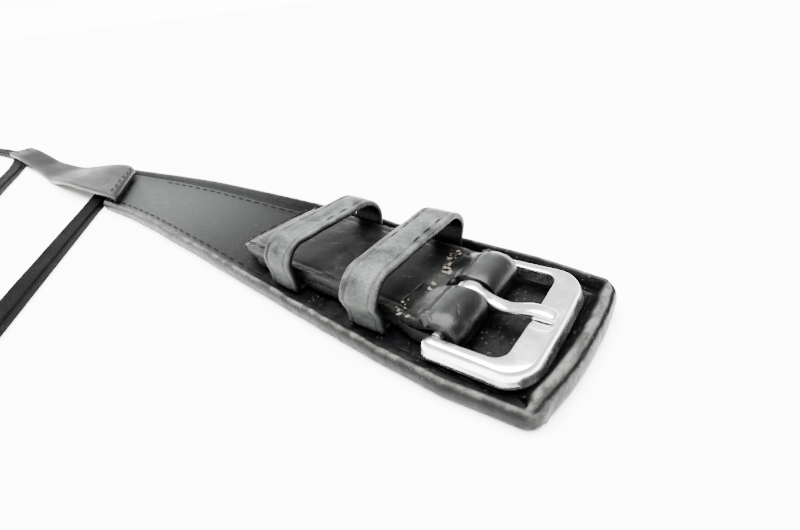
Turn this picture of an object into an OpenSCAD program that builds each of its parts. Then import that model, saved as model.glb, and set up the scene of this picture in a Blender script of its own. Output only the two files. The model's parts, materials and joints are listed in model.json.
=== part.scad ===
// Buckled leather strap: a padded base strip with a rolled rim, a folded chape that
// carries a pin buckle on a spring bar, two keepers, and a thin tail with a tie strap.
// Millimetres. The origin is on the underside, straight below the buckle bar.
// +X runs towards the buckle's front bar and +Z is up.

/* [Base strip] */
// Distance from the bar to the middle of the base's front edge
base_front = 17.1; // [13:0.5:24]
// Half of the base's width beside the buckle
base_half_front = 15.3; // [14.6:0.1:20]
// Half of the base's width at the rear keeper
base_half_keeper = 14.1; // [13.9:0.1:18]
// Half of the base's width where it ends under the tail
base_half_end = 9.8; // [6:0.1:14]
// Radius of the two front corners
base_corner_r = 2.6; // [2.4:0.1:6]
// How far the front edge bows forward between its corners
front_bow = 0.9; // [0:0.1:2.5]
// Where the near edge meets the slanted end of the base
base_end_x = -109.3; // [-140:0.5:-85]
// Slant of the base's end from square across
end_slant = 53.9; // [0:0.5:60]
// Thickness of the lining leather
lining_t = 0.8; // [0.5:0.05:1.5]
// Thickness of the core board
core_t = 0.4; // [0.2:0.05:1.5]
// Thickness of the top cover leather
cover_t = 0.6; // [0.4:0.05:1.2]
// Width of the rolled rim along the sides
rim_side = 1.7; // [1.2:0.05:3]
// Width of the rolled rim across the front
rim_front = 2.2; // [1.2:0.05:3]
// Height of the rolled rim above the table
rim_top = 4.3; // [3.4:0.1:6]
// Height of the rim at the base's far end
rim_end_top = 3; // [2.6:0.1:4.3]

/* [Chape] */
// Half of the chape's width
chape_half = 9.6; // [7:0.1:9.7]
// Thickness of each chape layer
chape_t = 1.4; // [1:0.05:1.4]
// Length of the lower layer behind the bar
chape_under = 43; // [40:0.5:50]
// Length of the upper layer behind the bar, to its rounded tip
chape_over = 52; // [50:0.5:62]
// Thickness of the leather where it turns round the bar
fold_t = 1.86; // [1:0.02:1.9]
// Width of the slot for the prong
slot_w = 3.4; // [3:0.1:4.5]
// How far the slot runs behind the bar
slot_back = 5.8; // [4:0.1:7]

/* [Keepers] */
// Width of each keeper along the strap
keeper_w = 6.4; // [4:0.1:8]
// Thickness of the keeper leather
keeper_t = 1; // [0.8:0.05:1]
// Height of the front keeper's top above the table
keeper_top = 11.3; // [11.1:0.1:14]
// Outer corner radius of the keepers
keeper_r = 4.2; // [2.5:0.1:5]
// Outer radius of the keepers' lower corners
keeper_foot_r = 1.3; // [1.1:0.1:1.5]
// Half of the front keeper's outer width
front_keeper_half = 12.4; // [11.8:0.1:12.6]
// Turn of the front keeper on the strap, near side forward
front_keeper_yaw = 5; // [0:0.5:6]
// Height of the rear keeper's top above the table
rear_keeper_top = 11.1; // [11.1:0.1:14]
// Half of the rear keeper's outer width
rear_keeper_half = 11.3; // [11.1:0.1:11.5]
// Sideways place of the rear keeper
rear_keeper_y = -0.6; // [-0.7:0.1:0]
// Distance from the bar to the front keeper's front face
front_keeper_x = -8.6; // [-11:0.1:-8]
// Distance from the bar to the rear keeper's front face
rear_keeper_x = -26.6; // [-30:0.1:-17]

/* [Buckle] */
// Clear width between the two side rails, the buckle's nominal strap size
buckle_inner = 20; // [19.8:0.1:21]
// Width of each side rail
rail_w = 2.3; // [1.8:0.05:2.4]
// Height of the frame metal
frame_h = 2.4; // [1.8:0.1:3]
// Distance from the bar to the inner edge of the front bar
window_front = 9.2; // [7:0.1:12]
// Width of the front bar, from inner to outer edge
front_bar_w = 4.5; // [3:0.1:5]
// Outer corner radius of the frame
frame_r = 4.6; // [2:0.1:6]
// Radius of the rounded rail ends at the bar
lug_r = 1.35; // [1.1:0.05:1.6]
// Turn of the buckle and bar on the strap, near side forward
buckle_yaw = 4; // [0:0.5:5]
// Sideways place of the bar's middle
bar_shift = -0.8; // [-1:0.1:0]
// Height of the bar above the table
bar_z = 4.6; // [4.6:0.05:5.2]
// Outer radius of the spring bar tube
bar_r = 0.8; // [0.6:0.05:0.9]
// Outer radius of the prong's eye
eye_r = 2.6; // [1.8:0.05:2.7]
// Width of the prong
prong_w = 2.6; // [2:0.1:2.9]
// Distance from the bar to the prong's tip
prong_len = 12.3; // [11:0.1:14]

/* [Tail and tie strap] */
// Thickness of the tail strap
tail_t = 1.8; // [1.2:0.1:2.6]
// How far the tail overlaps the base's end, along the strap
tail_lap = 9; // [6:0.1:14]
// Where the tail strap ends
tail_end_x = -208; // [-230:1:-185]
// Half of the tail's width at its far end
tail_half_end = 4.6; // [3:0.1:7]
// Width of the narrow tie strap
tie_w = 4.2; // [3:0.1:6]
// Thickness of the narrow tie strap
tie_t = 1.8; // [1.2:0.1:2.2]

/* [Stitching] */
// Length of one stitch
stitch_len = 2.3; // [1.5:0.1:3]
// Distance from one stitch to the next
stitch_pitch = 3.2; // [2.6:0.1:5]
// Width of the thread
thread_w = 0.5; // [0.3:0.05:0.8]
// Height of the thread above the leather
thread_h = 0.25; // [0.15:0.05:0.4]

/* [Hidden] */
$fn = 48;
run = 0.06;                    // radial running clearance on the bar
face_gap = 0.1;                // gap between leather faces that slide or hinge
cover_top = lining_t + core_t + cover_t;
base_half_mid = (base_half_keeper + base_half_end) / 2 + 0.3;
drift = 6.4;                   // how far the strap's centre line wanders to -Y
drift_start = -80;
drift_len = 85;
end_dir = [-sin(end_slant), cos(end_slant)];
fold_bore = bar_r + run;
fold_r = fold_bore + fold_t;
chape_z = cover_top + keeper_t + 2 * face_gap;
chape_top = chape_z + 2 * chape_t + face_gap;
chape_mid_y = -0.3;
tip_from = chape_over - 7;     // where the upper layer starts to slope down
tip_floor = cover_top + 0.05;
tip_slope = atan2(chape_top - tip_floor - 1, chape_over - tip_from);
keeper_z = cover_top + face_gap / 2;
frame_drop = 1.85;             // the rails' underside lies this far below the bar
frame_z = bar_z - frame_drop;
frame_top = frame_z + frame_h;
frame_front = window_front + front_bar_w;
frame_half = buckle_inner / 2 + rail_w;
bar_len = buckle_inner - 0.3;
tube_wall = 0.22;
plunger_r = 0.45;
plunger_reach = 1.0;           // how far a plunger enters its lug
spring_len = 11;
spring_turns = 18;
taper_from = -60;              // the rim's height falls from here to the tail
tail_down_from = -136;         // the tail leaves the base's height here
tail_down_to = -153;           // and lies on the table from here
tail_up_from = -181;           // it climbs onto the tie strap here
tail_up_to = -190;

// The tie strap's middle line: under the tail's end, out to the side, round and back
// under the raised tail beside the base's end.
TIE_ROUTE = [
    [-243, -12], [-226, -8.8], [-207, -8], [-188, -14], [-169.6, -22.9],
    [-145, -34.5], [-115, -48.8], [-85, -63], [-68, -71.3], [-57.5, -75.8],
    [-50.4, -76.3], [-45.7, -72.3], [-44.6, -66.2], [-48.2, -60.5], [-57, -54.1],
    [-70.9, -44], [-92.5, -28.3], [-114.2, -12.5], [-125, -4.6], [-135.5, 3]
];

// ---- shared shapes ----

function smooth(t) = let (u = min(1, max(0, t))) u * u * (3 - 2 * u);
function mix(a, b, t) = a + (b - a) * t;

// Half width and middle of the whole strap at a station along it
function strap_half(x) = lookup(x, [
    [tail_end_x, tail_half_end], [-168, tail_half_end + 0.4], [-150, 7.2], [-128, base_half_end - 0.4],
    [-110, base_half_end + 0.2], [-60, base_half_mid + 0.2], [-30, base_half_keeper],
    [-12, base_half_front - 0.3], [4, base_half_front], [base_front, base_half_front - 1.3]
]);
function strap_mid(x) = -drift * smooth((drift_start - x) / drift_len);
function edge_y(side, x, in) = strap_mid(x) + side * (strap_half(x) - in);

// Where a side edge meets the slanted end line, found by stepping towards it
function end_line_x(y, in) =
    base_end_x + (y - edge_y(-1, base_end_x, 0)) * end_dir[0] / end_dir[1] + in / end_dir[1];
function meet_x(side, in, x = -120, n = 8) =
    n == 0 ? x : meet_x(side, in, end_line_x(edge_y(side, x, in), in), n - 1);

// Outline of the base, drawn in from its edge by `side_in` and at the front by `front_in`
function base_outline(side_in, front_in) =
    let (
        cx = base_front - front_bow - base_corner_r,
        cy = strap_half(cx) - base_corner_r,
        r = base_corner_r - side_in,
        near_x = meet_x(-1, side_in),
        far_x = meet_x(1, side_in),
        steps = 26
    )
    concat(
        [for (k = [0 : steps]) let (x = mix(near_x, cx, k / steps)) [x, edge_y(-1, x, side_in)]],
        [for (a = [-75 : 15 : -15]) [cx + (r + side_in - front_in) * cos(a), -cy + r * sin(a)]],
        [for (k = [-6 : 6]) [base_front - front_in - front_bow * pow(k / 6, 2), cy * k / 6]],
        [for (a = [15 : 15 : 75]) [cx + (r + side_in - front_in) * cos(a), cy + r * sin(a)]],
        [for (k = [0 : steps]) let (x = mix(cx, far_x, k / steps)) [x, edge_y(1, x, side_in)]]
    );

// Height of the rim's top at a station along the strap
function rim_height(x) =
    x > taper_from ? rim_top : mix(rim_top, rim_end_top, (taper_from - x) / (taper_from - tail_down_from));

module base_slab(side_in, front_in, z, t) {
    translate([0, 0, z])
        linear_extrude(t) polygon(base_outline(side_in, front_in));
}

// One stitch lying on a surface at z, turned to run along the seam
module stitch(at, turn = 0, pitch = 0, len = stitch_len) {
    translate(at) rotate([0, -pitch, 0]) rotate([0, 0, turn])
        translate([-len / 2, -thread_w / 2, 0]) cube([len, thread_w, thread_h]);
}

// Children drawn in the buckle's own turned frame, with the bar's middle at its origin
module on_bar() {
    translate([0, bar_shift, bar_z]) rotate([0, 0, buckle_yaw]) children();
}

// A round bar along Y, centred
module y_rod(r, len, at = 0) {
    translate([0, at, 0]) rotate([90, 0, 0]) cylinder(r = r, h = len, center = true);
}

// A profile in X and Z, extruded along Y and centred
module side_cut(points, width) {
    rotate([90, 0, 0]) linear_extrude(width, center = true) polygon(points);
}

// ---- base strip ----

module base_lining() {
    color("dimgray") base_slab(0, 0, 0, lining_t);
}

module base_core() {
    color("tan") base_slab(rim_side, rim_front, lining_t, core_t);
}

module base_cover() {
    color([0.16, 0.15, 0.17]) base_slab(rim_side, rim_front, lining_t + core_t, cover_t);
}

rim_chamfer = 0.35;
module edge_roll() {
    color([0.2, 0.2, 0.21]) difference() {
        intersection() {
            union() {
                base_slab(0, 0, lining_t, rim_top - lining_t - rim_chamfer);
                base_slab(rim_chamfer, rim_chamfer, rim_top - rim_chamfer, rim_chamfer);
            }
            side_cut([
                [base_front + 1, 0], [base_front + 1, rim_top + 1], [taper_from, rim_top + 1],
                [taper_from, rim_top], [tail_down_from, rim_end_top], [tail_down_from - 9, rim_end_top],
                [tail_down_from - 9, 0]
            ], 60);
        }
        base_slab(rim_side, rim_front, 0, rim_top + 1);
    }
}

// A running stitch on the cover just inside the rim, along both sides
stitch_inset = rim_side + 1.1;
base_stitch_from = base_front - 8;
base_stitch_count = floor((base_stitch_from - base_end_x - 3) / stitch_pitch);
module base_stitches() {
    color("gray") for (side = [-1, 1], k = [0 : base_stitch_count]) {
        x = base_stitch_from - k * stitch_pitch;
        run_angle = atan2(edge_y(side, x - 1, 0) - edge_y(side, x + 1, 0), -2);
        under_keeper = x < front_keeper_x + 2 && x > front_keeper_x - keeper_w - 2
            || x < rear_keeper_x + keeper_w * 2 + 2 && x > rear_keeper_x - keeper_w - 4;
        if (!under_keeper)
            stitch([x, edge_y(side, x, stitch_inset), cover_top], run_angle);
    }
}

// ---- chape ----

// The chape seen from the side: round the bar, and back in two layers
function chape_side() = concat(
    [for (a = [90 : -10 : -90]) [fold_r * cos(a), bar_z + fold_r * sin(a)]],
    [
        [-1.5, bar_z - fold_r],
        [-6, chape_z],
        [-chape_under, chape_z],
        [-chape_under - 1, chape_z + chape_t],
        [-tip_from - 1, chape_z + chape_t],
        [-chape_over + 3, tip_floor],
        [-chape_over, tip_floor],
        [-chape_over, tip_floor + 1],
        [-tip_from, chape_top],
        [-3, chape_top]
    ]
);

// The chape seen from above, with its rounded tip
function chape_plan() = concat(
    [[fold_r + 1, -chape_half], [fold_r + 1, chape_half], [-tip_from, chape_half]],
    [for (a = [80 : -10 : -80]) [-tip_from - (chape_over - tip_from) * cos(a), chape_half * sin(a)]],
    [[-tip_from, -chape_half]]
);

module chape_body() {
    intersection() {
        side_cut(chape_side(), 2 * chape_half + 2);
        translate([0, 0, -1]) linear_extrude(chape_top + 8) polygon(chape_plan());
    }
}

// The turned front of the chape lies square to the bar, the rest square to the strap
module chape() {
    turn_len = 4.5;
    color([0.18, 0.17, 0.19]) difference() {
        union() {
            translate([0, chape_mid_y, 0]) intersection() {
                chape_body();
                translate([-chape_over - 1, -20, 0]) cube([chape_over + 1 - turn_len + 1, 40, 20]);
            }
            translate([0, bar_shift, 0]) rotate([0, 0, buckle_yaw]) intersection() {
                chape_body();
                translate([-turn_len, -20, 0]) cube([20, 40, 20]);
            }
        }
        on_bar() y_rod(fold_bore, 40);
        on_bar() translate([-slot_back, -slot_w / 2, -bar_z - 1]) cube([slot_back + 10, slot_w, 20]);
        translate([-chape_under - 2, -20, chape_z + chape_t])
            cube([chape_under - 1, 40, face_gap]);
    }
}

chape_stitch_y = chape_half - 1.5;
module chape_edge_stitches() {
    color("lightgray") for (side = [-1, 1]) {
        for (x = [-18 : -stitch_pitch : -24])
            stitch([x, chape_mid_y + side * chape_stitch_y, chape_top]);
        for (x = [-36 : -stitch_pitch : -tip_from + stitch_len / 2])
            stitch([x, chape_mid_y + side * chape_stitch_y, chape_top]);
    }
}

// The stitching follows the rounded tip down its slope
tip_stitch_in = 2.4;
module chape_tip_stitches() {
    color("lightgray") for (a = [-60 : 20 : 60]) {
        back = (chape_over - tip_from - tip_stitch_in) * cos(a) * cos(tip_slope);
        side = (chape_half - 1.5) * sin(a);
        translate([-tip_from, chape_mid_y, chape_top]) rotate([0, -tip_slope, 0])
            stitch([-back, side, 0], 90 - a * 0.75, 0, stitch_len * 0.8);
    }
}

// Stitches across both layers behind the slot, between it and the front keeper
module fold_stitches() {
    color("lightgray") for (side = [-1, 1], k = [0 : 1])
        stitch([-slot_back - 1.2, chape_mid_y + side * (3.6 + k * stitch_pitch), chape_top], 90);
}

// ---- keepers ----

// Rounded rectangle with true arcs, centred on Y, its height along X
module rounded_plate(half_y, z0, z1, top_r, foot_r) {
    for (side = [-1, 1]) {
        translate([z1 - top_r, side * (half_y - top_r)]) circle(top_r);
        translate([z0 + foot_r, side * (half_y - foot_r)]) circle(foot_r);
    }
    translate([z1 - top_r, -half_y + top_r]) square([top_r, 2 * (half_y - top_r)]);
    translate([z0, -half_y + foot_r]) square([foot_r, 2 * (half_y - foot_r)]);
    translate([z0 + foot_r, -half_y]) square([z1 - z0 - top_r - foot_r, 2 * half_y]);
}

module keeper(half_y, top) {
    rotate([0, -90, 0]) linear_extrude(keeper_w, center = true) difference() {
        rounded_plate(half_y, keeper_z, top, keeper_r, keeper_foot_r);
        rounded_plate(half_y - keeper_t, keeper_z + keeper_t, top - keeper_t,
            keeper_r - keeper_t, keeper_foot_r - keeper_t);
    }
}

// Two rows of stitches on top of a keeper, over the join of its ends
module keeper_stitches(top) {
    for (k = [-1 : 1], row = [-1, 1])
        stitch([row * (keeper_w / 2 - 1.2), 3 + k * stitch_pitch, top], 90, 0, stitch_len * 0.8);
}

// Children drawn about the middle of a keeper's place
module at_front_keeper() {
    translate([front_keeper_x - keeper_w / 2, 0, 0]) rotate([0, 0, front_keeper_yaw]) children();
}

module at_rear_keeper() {
    translate([rear_keeper_x - keeper_w / 2, rear_keeper_y, 0]) children();
}

module front_keeper() {
    color([0.3, 0.31, 0.31]) at_front_keeper() keeper(front_keeper_half, keeper_top);
}

module front_keeper_stitches() {
    color("gray") at_front_keeper() keeper_stitches(keeper_top);
}

module rear_keeper() {
    color([0.3, 0.31, 0.31]) at_rear_keeper() keeper(rear_keeper_half, rear_keeper_top);
}

module rear_keeper_stitches() {
    color("gray") at_rear_keeper() keeper_stitches(rear_keeper_top);
}

// ---- tail and tie strap ----

// Height of the tail's underside: over the base's end, down to the table, and up
// again onto the tie strap
function tail_under(x) =
    x > tail_down_from ? rim_height(x) + face_gap / 2
    : x > tail_down_to ? (rim_end_top + face_gap / 2)
        * (1 - smooth((tail_down_from - x) / (tail_down_from - tail_down_to)))
    : x > tail_up_from ? 0
    : (tie_t + 0.05) * smooth((tail_up_from - x) / (tail_up_from - tail_up_to));

module tail_strap() {
    stations = [for (x = [base_end_x + tail_lap + 2 : -2 : tail_end_x - 2]) x];
    front_near = meet_x(-1, 0) + tail_lap;
    front_far = meet_x(1, 0) + tail_lap;
    n = 30;
    color([0.22, 0.22, 0.23]) intersection() {
        side_cut(concat(
            [for (x = stations) [x, tail_under(x)]],
            [for (k = [len(stations) - 1 : -1 : 0]) [stations[k], tail_under(stations[k]) + tail_t]]
        ), 60);
        translate([0, 0, -1]) linear_extrude(20) polygon(concat(
            [for (k = [0 : n]) let (x = mix(front_near, tail_end_x, k / n)) [x, edge_y(-1, x, 0.6)]],
            [for (k = [0 : n]) let (x = mix(tail_end_x, front_far, k / n)) [x, edge_y(1, x, 0.6)]]
        ));
    }
}

// A smooth line through the route's points
function through(p, k, t) =
    let (a = p[max(0, k - 1)], b = p[k], c = p[k + 1], d = p[min(len(p) - 1, k + 2)])
    0.5 * (2 * b + (c - a) * t + (2 * a - 5 * b + 4 * c - d) * t * t + (3 * b - a - 3 * c + d) * t * t * t);
tie_line = concat(
    [for (k = [0 : len(TIE_ROUTE) - 2], t = [0, 0.34, 0.67]) through(TIE_ROUTE, k, t)],
    [TIE_ROUTE[len(TIE_ROUTE) - 1]]
);
function tie_edge(side) = [
    for (k = [0 : len(tie_line) - 1])
        let (
            run = tie_line[min(len(tie_line) - 1, k + 1)] - tie_line[max(0, k - 1)],
            across = [-run[1], run[0]] / norm(run)
        )
        tie_line[k] + side * across * tie_w / 2
];

module tie_strap() {
    right = tie_edge(-1);
    left = tie_edge(1);
    color([0.12, 0.12, 0.13]) linear_extrude(tie_t)
        polygon(concat(right, [for (k = [len(left) - 1 : -1 : 0]) left[k]]));
}

// A row through the tail along its slanted front edge, lying on the taper
taper_pitch = atan((rim_top - rim_end_top) / (taper_from - tail_down_from));
module junction_stitches() {
    n = 5;
    color("gray") for (k = [0 : n]) {
        y = mix(edge_y(-1, -112, 3), edge_y(1, -128, 3.4), k / n);
        x = end_line_x(y, 0) + tail_lap - 2.4;
        stitch([x, y, tail_under(x) + tail_t], 90 + end_slant, taper_pitch);
    }
}

// Two stitches through the tail's end into the tie strap
module end_stitches() {
    color("gray") for (side = [-1, 1])
        stitch([-205.5, strap_mid(-205.5) + side * 1.8, tie_t + 0.05 + tail_t], 0);
}

// ---- buckle ----

// The frame from above, open at the back, drawn in by `in`
module frame_plan(in) {
    r = frame_r - in;
    half = frame_half - in;
    front = frame_front - in;
    difference() {
        union() {
            for (y = [-half + r, half - r]) translate([front - r, y]) circle(r);
            translate([0, -half]) square([front - r, 2 * half]);
            translate([0, -half + r]) square([front, 2 * (half - r)]);
        }
        translate([-5, -buckle_inner / 2 - in]) square([5 + window_front - 2 + in, buckle_inner + 2 * in]);
        translate([0, -buckle_inner / 2 - in + 2]) square([window_front + in, buckle_inner + 2 * in - 4]);
        for (y = [-1, 1]) translate([window_front + in - 2, y * (buckle_inner / 2 + in - 2)]) circle(2);
    }
}

frame_bevel = 0.45;
module buckle_frame() {
    color("silver") on_bar() difference() {
        union() {
            translate([0, 0, frame_z - bar_z]) linear_extrude(frame_h - frame_bevel) frame_plan(0);
            translate([0, 0, frame_z - bar_z]) linear_extrude(frame_h) frame_plan(frame_bevel);
            for (side = [-1, 1])
                y_rod(lug_r, rail_w, side * (frame_half - rail_w / 2));
        }
        for (side = [-1, 1])
            y_rod(plunger_r + run, 2 * (plunger_reach + 0.3), side * buckle_inner / 2);
        translate([window_front - 1, 0, frame_top - bar_z + 1.5])
            rotate([0, 90, 0]) cylinder(r = 2, h = front_bar_w + 2);
    }
}

module bar_tube() {
    color("lightgray") on_bar() difference() {
        y_rod(bar_r, bar_len);
        y_rod(bar_r - tube_wall, bar_len + 2);
    }
}

module plunger(side) {
    tail = 3;
    on_bar() y_rod(plunger_r, tail + plunger_reach + 0.15,
        side * (buckle_inner / 2 + plunger_reach - (tail + plunger_reach + 0.15) / 2));
}

module near_plunger() {
    color("gainsboro") plunger(-1);
}

module far_plunger() {
    color("gainsboro") plunger(1);
}

// A coil that pushes the two plungers apart inside the tube
module bar_spring() {
    wire_r = 0.09;
    coil_r = bar_r - tube_wall - wire_r - 0.05;
    per_turn = 10;
    sides = 5;
    rings = spring_turns * per_turn;
    points = [
        for (k = [0 : rings], s = [0 : sides - 1])
            let (
                turn = 360 * k / per_turn,
                r = coil_r + wire_r * cos(360 * s / sides),
                y = mix(-spring_len / 2, spring_len / 2, k / rings) + wire_r * sin(360 * s / sides)
            )
            [r * cos(turn), y, r * sin(turn)]
    ];
    sides_faces = [
        for (k = [0 : rings - 1], s = [0 : sides - 1])
            let (a = k * sides + s, b = k * sides + (s + 1) % sides)
            [a, a + sides, b + sides, b]
    ];
    caps = [
        [for (s = [0 : sides - 1]) s],
        [for (s = [sides - 1 : -1 : 0]) rings * sides + s]
    ];
    color("gray") on_bar() polyhedron(points, concat(sides_faces, caps));
}

// The prong's arm seen from the side, from its eye to its tip on the front bar
function prong_arm() = [
    [0, eye_r], [1.4, eye_r - 0.55], [3, 0.85], [5, 0.85], [7, 1.35],
    [window_front + 0.4, 2.25], [prong_len - 1, 2.2], [prong_len, 1.5], [prong_len, 1.05],
    [window_front + 0.2, 0.9], [7.4, -0.1], [5.4, -0.65], [3, -0.75], [1.2, -0.9]
];

module prong() {
    color("silver") on_bar() difference() {
        union() {
            y_rod(eye_r, prong_w);
            side_cut(prong_arm(), prong_w);
        }
        y_rod(bar_r + run, prong_w + 2);
    }
}

base_lining();
base_core();
base_cover();
edge_roll();
base_stitches();
chape();
chape_edge_stitches();
chape_tip_stitches();
fold_stitches();
front_keeper();
front_keeper_stitches();
rear_keeper();
rear_keeper_stitches();
tail_strap();
tie_strap();
junction_stitches();
end_stitches();
buckle_frame();
bar_tube();
near_plunger();
far_plunger();
bar_spring();
prong();
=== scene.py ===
"""Leather, thread and metal finishes for a buckled leather strap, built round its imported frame."""

import json
import math
import random
from bisect import bisect_left

import bmesh
import bpy
from bpy.props import FloatProperty, FloatVectorProperty, IntProperty, PointerProperty
from mathutils import Matrix, Vector, noise
from mathutils.bvhtree import BVHTree


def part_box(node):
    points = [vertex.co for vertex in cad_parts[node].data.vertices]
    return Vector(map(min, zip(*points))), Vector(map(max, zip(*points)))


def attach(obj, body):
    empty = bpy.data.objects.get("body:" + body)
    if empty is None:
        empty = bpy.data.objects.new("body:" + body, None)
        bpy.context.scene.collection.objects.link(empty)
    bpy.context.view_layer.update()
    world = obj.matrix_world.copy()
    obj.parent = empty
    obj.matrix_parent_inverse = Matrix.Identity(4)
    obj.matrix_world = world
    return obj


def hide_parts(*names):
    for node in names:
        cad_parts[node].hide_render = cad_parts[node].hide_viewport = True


bl_info = {
    "name": "Buckled Leather Strap",
    "version": (1, 0, 0),
    "blender": (4, 5, 0),
    "location": "View3D > Sidebar > Strap",
    "description": "Builds the leather, thread and buckle of a strap on its packed frame",
    "category": "Object",
}

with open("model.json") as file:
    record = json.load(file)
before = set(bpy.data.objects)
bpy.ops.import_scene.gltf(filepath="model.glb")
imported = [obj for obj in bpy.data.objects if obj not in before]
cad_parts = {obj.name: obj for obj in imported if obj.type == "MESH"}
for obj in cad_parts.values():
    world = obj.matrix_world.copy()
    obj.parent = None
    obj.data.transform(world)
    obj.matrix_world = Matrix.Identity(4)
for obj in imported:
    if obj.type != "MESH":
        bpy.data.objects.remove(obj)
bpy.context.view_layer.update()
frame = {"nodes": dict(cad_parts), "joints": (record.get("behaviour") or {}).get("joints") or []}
NODES = frame["nodes"]
MM = 0.001

BAR_HINGE = next(j for j in frame["joints"] if j["name"] == "buckle_hinge")
BAR_AT = Vector(BAR_HINGE["pos_m"]) / MM
BAR_TURN = math.atan2(BAR_HINGE["axis"][0], -BAR_HINGE["axis"][1])


# ---- reading the frame ----


def box_mm(node):
    """Lowest and highest corner of a CAD node, in millimetres."""
    low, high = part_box(node)
    return low / MM, high / MM


def merged(node):
    """A bmesh copy of a CAD node in millimetres, with its loose triangles joined up."""
    bm = bmesh.new()
    bm.from_mesh(NODES[node].data)
    bmesh.ops.scale(bm, vec=(1 / MM,) * 3, verts=bm.verts)
    bmesh.ops.remove_doubles(bm, verts=bm.verts, dist=1e-4)
    bmesh.ops.dissolve_limit(bm, angle_limit=0.001, verts=bm.verts, edges=bm.edges)
    return bm


def underside_loop(node):
    """The outline of a node's flat underside, in order."""
    bm = merged(node)
    floor = min(v.co.z for v in bm.verts)
    face = max(
        (f for f in bm.faces if f.normal.z < -0.99 and f.calc_center_median().z < floor + 0.01),
        key=lambda f: f.calc_area(),
    )
    loop = [v.co.copy() for v in face.verts]
    bm.free()
    return loop


def islands(node):
    """Each separate solid of a node, as its centre, its long direction and its size."""
    bm = merged(node)
    left, found = set(bm.verts), []
    while left:
        group, queue = [], [left.pop()]
        while queue:
            vert = queue.pop()
            group.append(vert.co.copy())
            for edge in vert.link_edges:
                other = edge.other_vert(vert)
                if other in left:
                    left.remove(other)
                    queue.append(other)
        middle = sum(group, Vector()) / len(group)
        start = min(group, key=lambda p: (p.x, p.y, p.z))
        near = sorted((p - start for p in group if p != start), key=lambda d: d.length)
        found.append((middle, (near[0], near[1], near[3])))
    bm.free()
    found.sort(key=lambda item: (round(item[0].x, 2), round(item[0].y, 2)))
    return found


class Line:
    """A value that runs in straight steps between known stations."""

    def __init__(self, pairs):
        pairs = sorted(pairs)
        self.at = [p[0] for p in pairs]
        self.value = [p[1] for p in pairs]

    def __call__(self, x):
        i = bisect_left(self.at, x)
        if i <= 0:
            return self.value[0]
        if i >= len(self.at):
            return self.value[-1]
        a, b = self.at[i - 1], self.at[i]
        t = (x - a) / (b - a) if b > a else 0.0
        return self.value[i - 1] + (self.value[i] - self.value[i - 1]) * t


def clamped(t):
    return min(1.0, max(0.0, t))


def smooth(t):
    t = clamped(t)
    return t * t * (3 - 2 * t)


def mix(a, b, t):
    return a + (b - a) * t


def bell(x, middle, width):
    """1 at the middle, falling to nothing about two widths away."""
    return math.exp(-(((x - middle) / width) ** 2))


def curve(a, b, c, d, t):
    """A smooth value between b and c, on its way from a to d."""
    return 0.5 * (
        2 * b + (c - a) * t + (2 * a - 5 * b + 4 * c - d) * t * t + (3 * b - a - 3 * c + d) * t * t * t
    )


def round_section(section, v):
    """The smoothed corner values at v, from 0 to 1, round a closed section."""
    slot = v * len(section)
    i = int(slot)
    picked = [section[(i + j) % len(section)] for j in (-1, 0, 1, 2)]
    return [curve(*values, slot - i) for values in zip(*picked)]


def on_stations(stations, slot):
    """The smoothed values at a place along an open run of stations."""
    last = len(stations) - 1
    i = min(last - 1, int(slot))
    picked = [stations[min(last, max(0, i + j))] for j in (-1, 0, 1, 2)]
    return [curve(*values, slot - i) for values in zip(*picked)]


def rough(point, size, seed=0.0):
    """Smooth noise from -1 to 1 whose lumps are about `size` millimetres."""
    return noise.noise(Vector(point) / size + Vector((seed, seed * 1.7, -seed)))


def edges_of(loop):
    """Near and far edge of an outline as functions of x, split at its two ends."""
    first = min(range(len(loop)), key=lambda i: loop[i].x)
    loop = loop[first:] + loop[:first] + [loop[first]]
    last = max(range(len(loop)), key=lambda i: loop[i].x)
    sides = [loop[: last + 1], loop[last:]]
    sides.sort(key=lambda side: sum(p.y for p in side) / len(side))
    return [Line([(p.x, p.y) for p in side]) for side in sides]


BASE_LOOP = underside_loop("base_lining")
BASE_NEAR, BASE_FAR = edges_of(BASE_LOOP)
BASE_X0, BASE_X1 = min(p.x for p in BASE_LOOP), max(p.x for p in BASE_LOOP)
COVER_TOP = box_mm("base_cover")[1].z
CHAPE_LOW, CHAPE_HIGH = box_mm("chape")


# ---- sizes and colours ----


class StrapSizes(bpy.types.PropertyGroup):
    """Sizes of what is modelled over the frame"""

    grain_depth: FloatProperty(name="Grain", description="Height of the cover's creases, mm", default=0.05)
    turn_thickness: FloatProperty(name="Turn", description="Leather round the bar, mm thick", default=1.86)
    layer_thickness: FloatProperty(name="Layer", description="Thickness of one chape layer, mm", default=1.4)
    slot_half: FloatProperty(name="Slot", description="Half of the prong slot's width, mm", default=1.45)
    slot_back: FloatProperty(name="Slot back", description="Reach behind the bar, mm", default=3.5)
    keeper_thickness: FloatProperty(name="Keeper", description="Keeper leather thickness, mm", default=1.0)
    front_keeper_turn: FloatProperty(
        name="Front keeper turn",
        description="Turn of the front keeper, seen from above",
        default=math.radians(5),
        unit="ROTATION",
    )
    frame_corner: FloatProperty(name="Frame corner", description="Outer corner radius, mm", default=4.6)
    crumb_count: IntProperty(name="Crumbs", description="Loose bits of dried fibre", default=80, min=0)


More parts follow.
